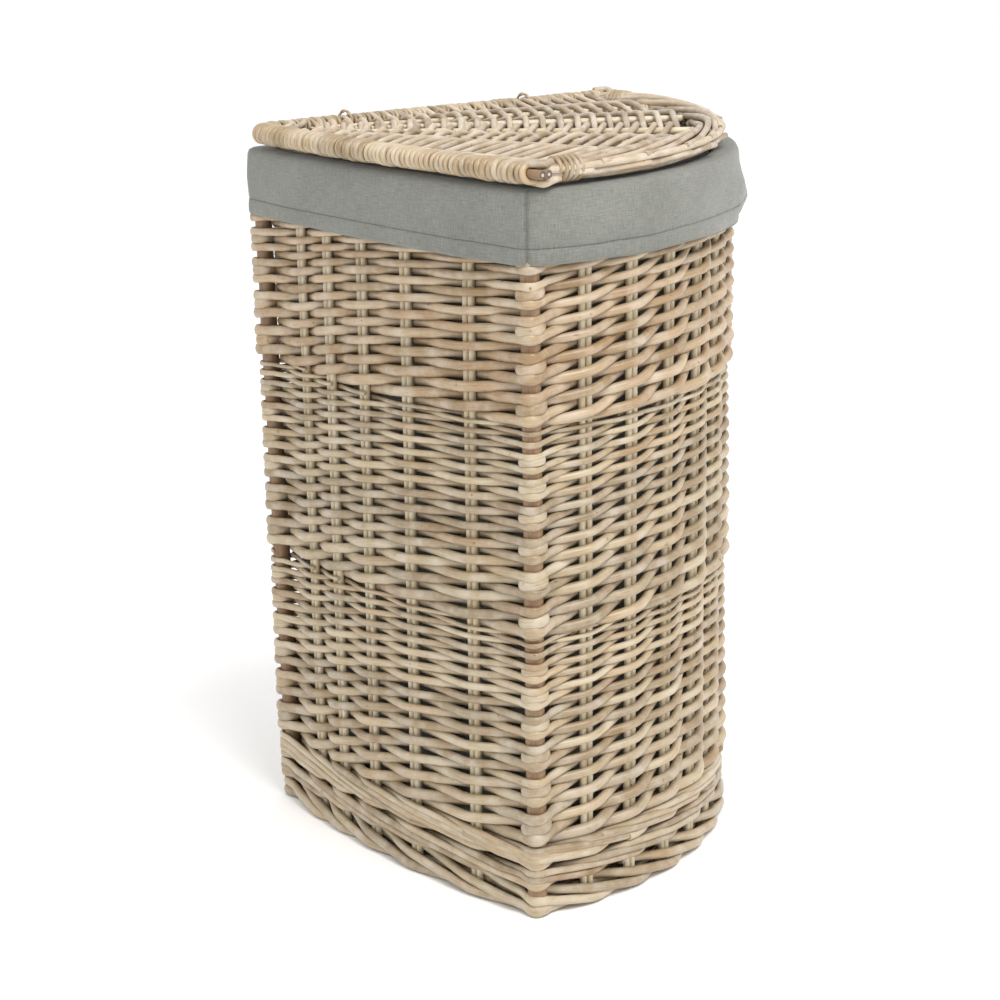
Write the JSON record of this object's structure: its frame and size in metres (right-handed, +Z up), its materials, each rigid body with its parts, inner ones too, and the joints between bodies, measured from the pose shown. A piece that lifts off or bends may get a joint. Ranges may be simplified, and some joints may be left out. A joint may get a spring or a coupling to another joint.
{
  "type": "lidded corner laundry basket",
  "caption": "Quarter-round woven willow laundry basket for a corner, with a cloth liner folded over the rim and a flat woven lid hinged along one straight side.",
  "frame": {"origin": "on the floor, under the middle of the object's box", "axes": "+Z up; the bowed front faces -Y, the square corner points to +Y; the lid is hinged along the flat side on the +X side"},
  "size_m": [0.5312, 0.398, 0.5758],
  "materials": {
    "wall_willow": "grey-washed split and round willow, matt with a faint sheen on the rods",
    "lid_willow": "paler grey-washed willow rods, satin",
    "stake_rod": "peeled willow rods, satin",
    "post_stick": "brown willow sticks, matt",
    "hinge_willow": "skeined willow, satin",
    "liner_cloth": "plain-woven sage grey linen and cotton cloth, matt"
  },
  "bodies": {
    "root": {"base_stick_1": "wall_willow", "base_stick_2": "wall_willow", "base_stick_3": "wall_willow", "base_stick_4": "wall_willow", "base_stick_5": "wall_willow", "base_weave": "wall_willow", "corner_post_back": "post_stick", "corner_post_left": "post_stick", "corner_post_right": "post_stick", "foot_border": "wall_willow", "front_stake_1": "stake_rod", "front_stake_10": "stake_rod", "front_stake_11": "stake_rod", "front_stake_2": "stake_rod", "front_stake_3": "stake_rod", "front_stake_4": "stake_rod", "front_stake_5": "stake_rod", "front_stake_6": "stake_rod", "front_stake_7": "stake_rod", "front_stake_8": "stake_rod", "front_stake_9": "stake_rod", "hinge_loop_back": "hinge_willow", "hinge_loop_front": "hinge_willow", "left_stake_1": "stake_rod", "left_stake_2": "stake_rod", "left_stake_3": "stake_rod", "left_stake_4": "stake_rod", "left_stake_5": "stake_rod", "liner_bag": "liner_cloth", "liner_cuff": "liner_cloth", "rand_lower": "wall_willow", "rand_middle": "wall_willow", "rand_upper": "wall_willow", "right_stake_1": "stake_rod", "right_stake_2": "stake_rod", "right_stake_3": "stake_rod", "right_stake_4": "stake_rod", "right_stake_5": "stake_rod", "rim_border": "wall_willow", "upsett_wale": "wall_willow"},
    "lid": {"lid_edge_sticks_left": "lid_willow", "lid_edge_sticks_right": "lid_willow", "lid_front_border": "lid_willow", "lid_rib_1": "lid_willow", "lid_rib_2": "lid_willow", "lid_rib_3": "lid_willow", "lid_rib_4": "lid_willow", "lid_rib_5": "lid_willow", "lid_tie_left": "lid_willow", "lid_tie_right": "lid_willow", "lid_weave": "lid_willow"}
  },
  "joints": [
    {"name": "lid_hinge", "type": "hinge", "parent": "root", "child": "lid", "pos_m": [0.1248, 0.06066, 0.563], "axis": [-0.7071, 0.7071, 0], "range_deg": [0, 105]}
  ]
}
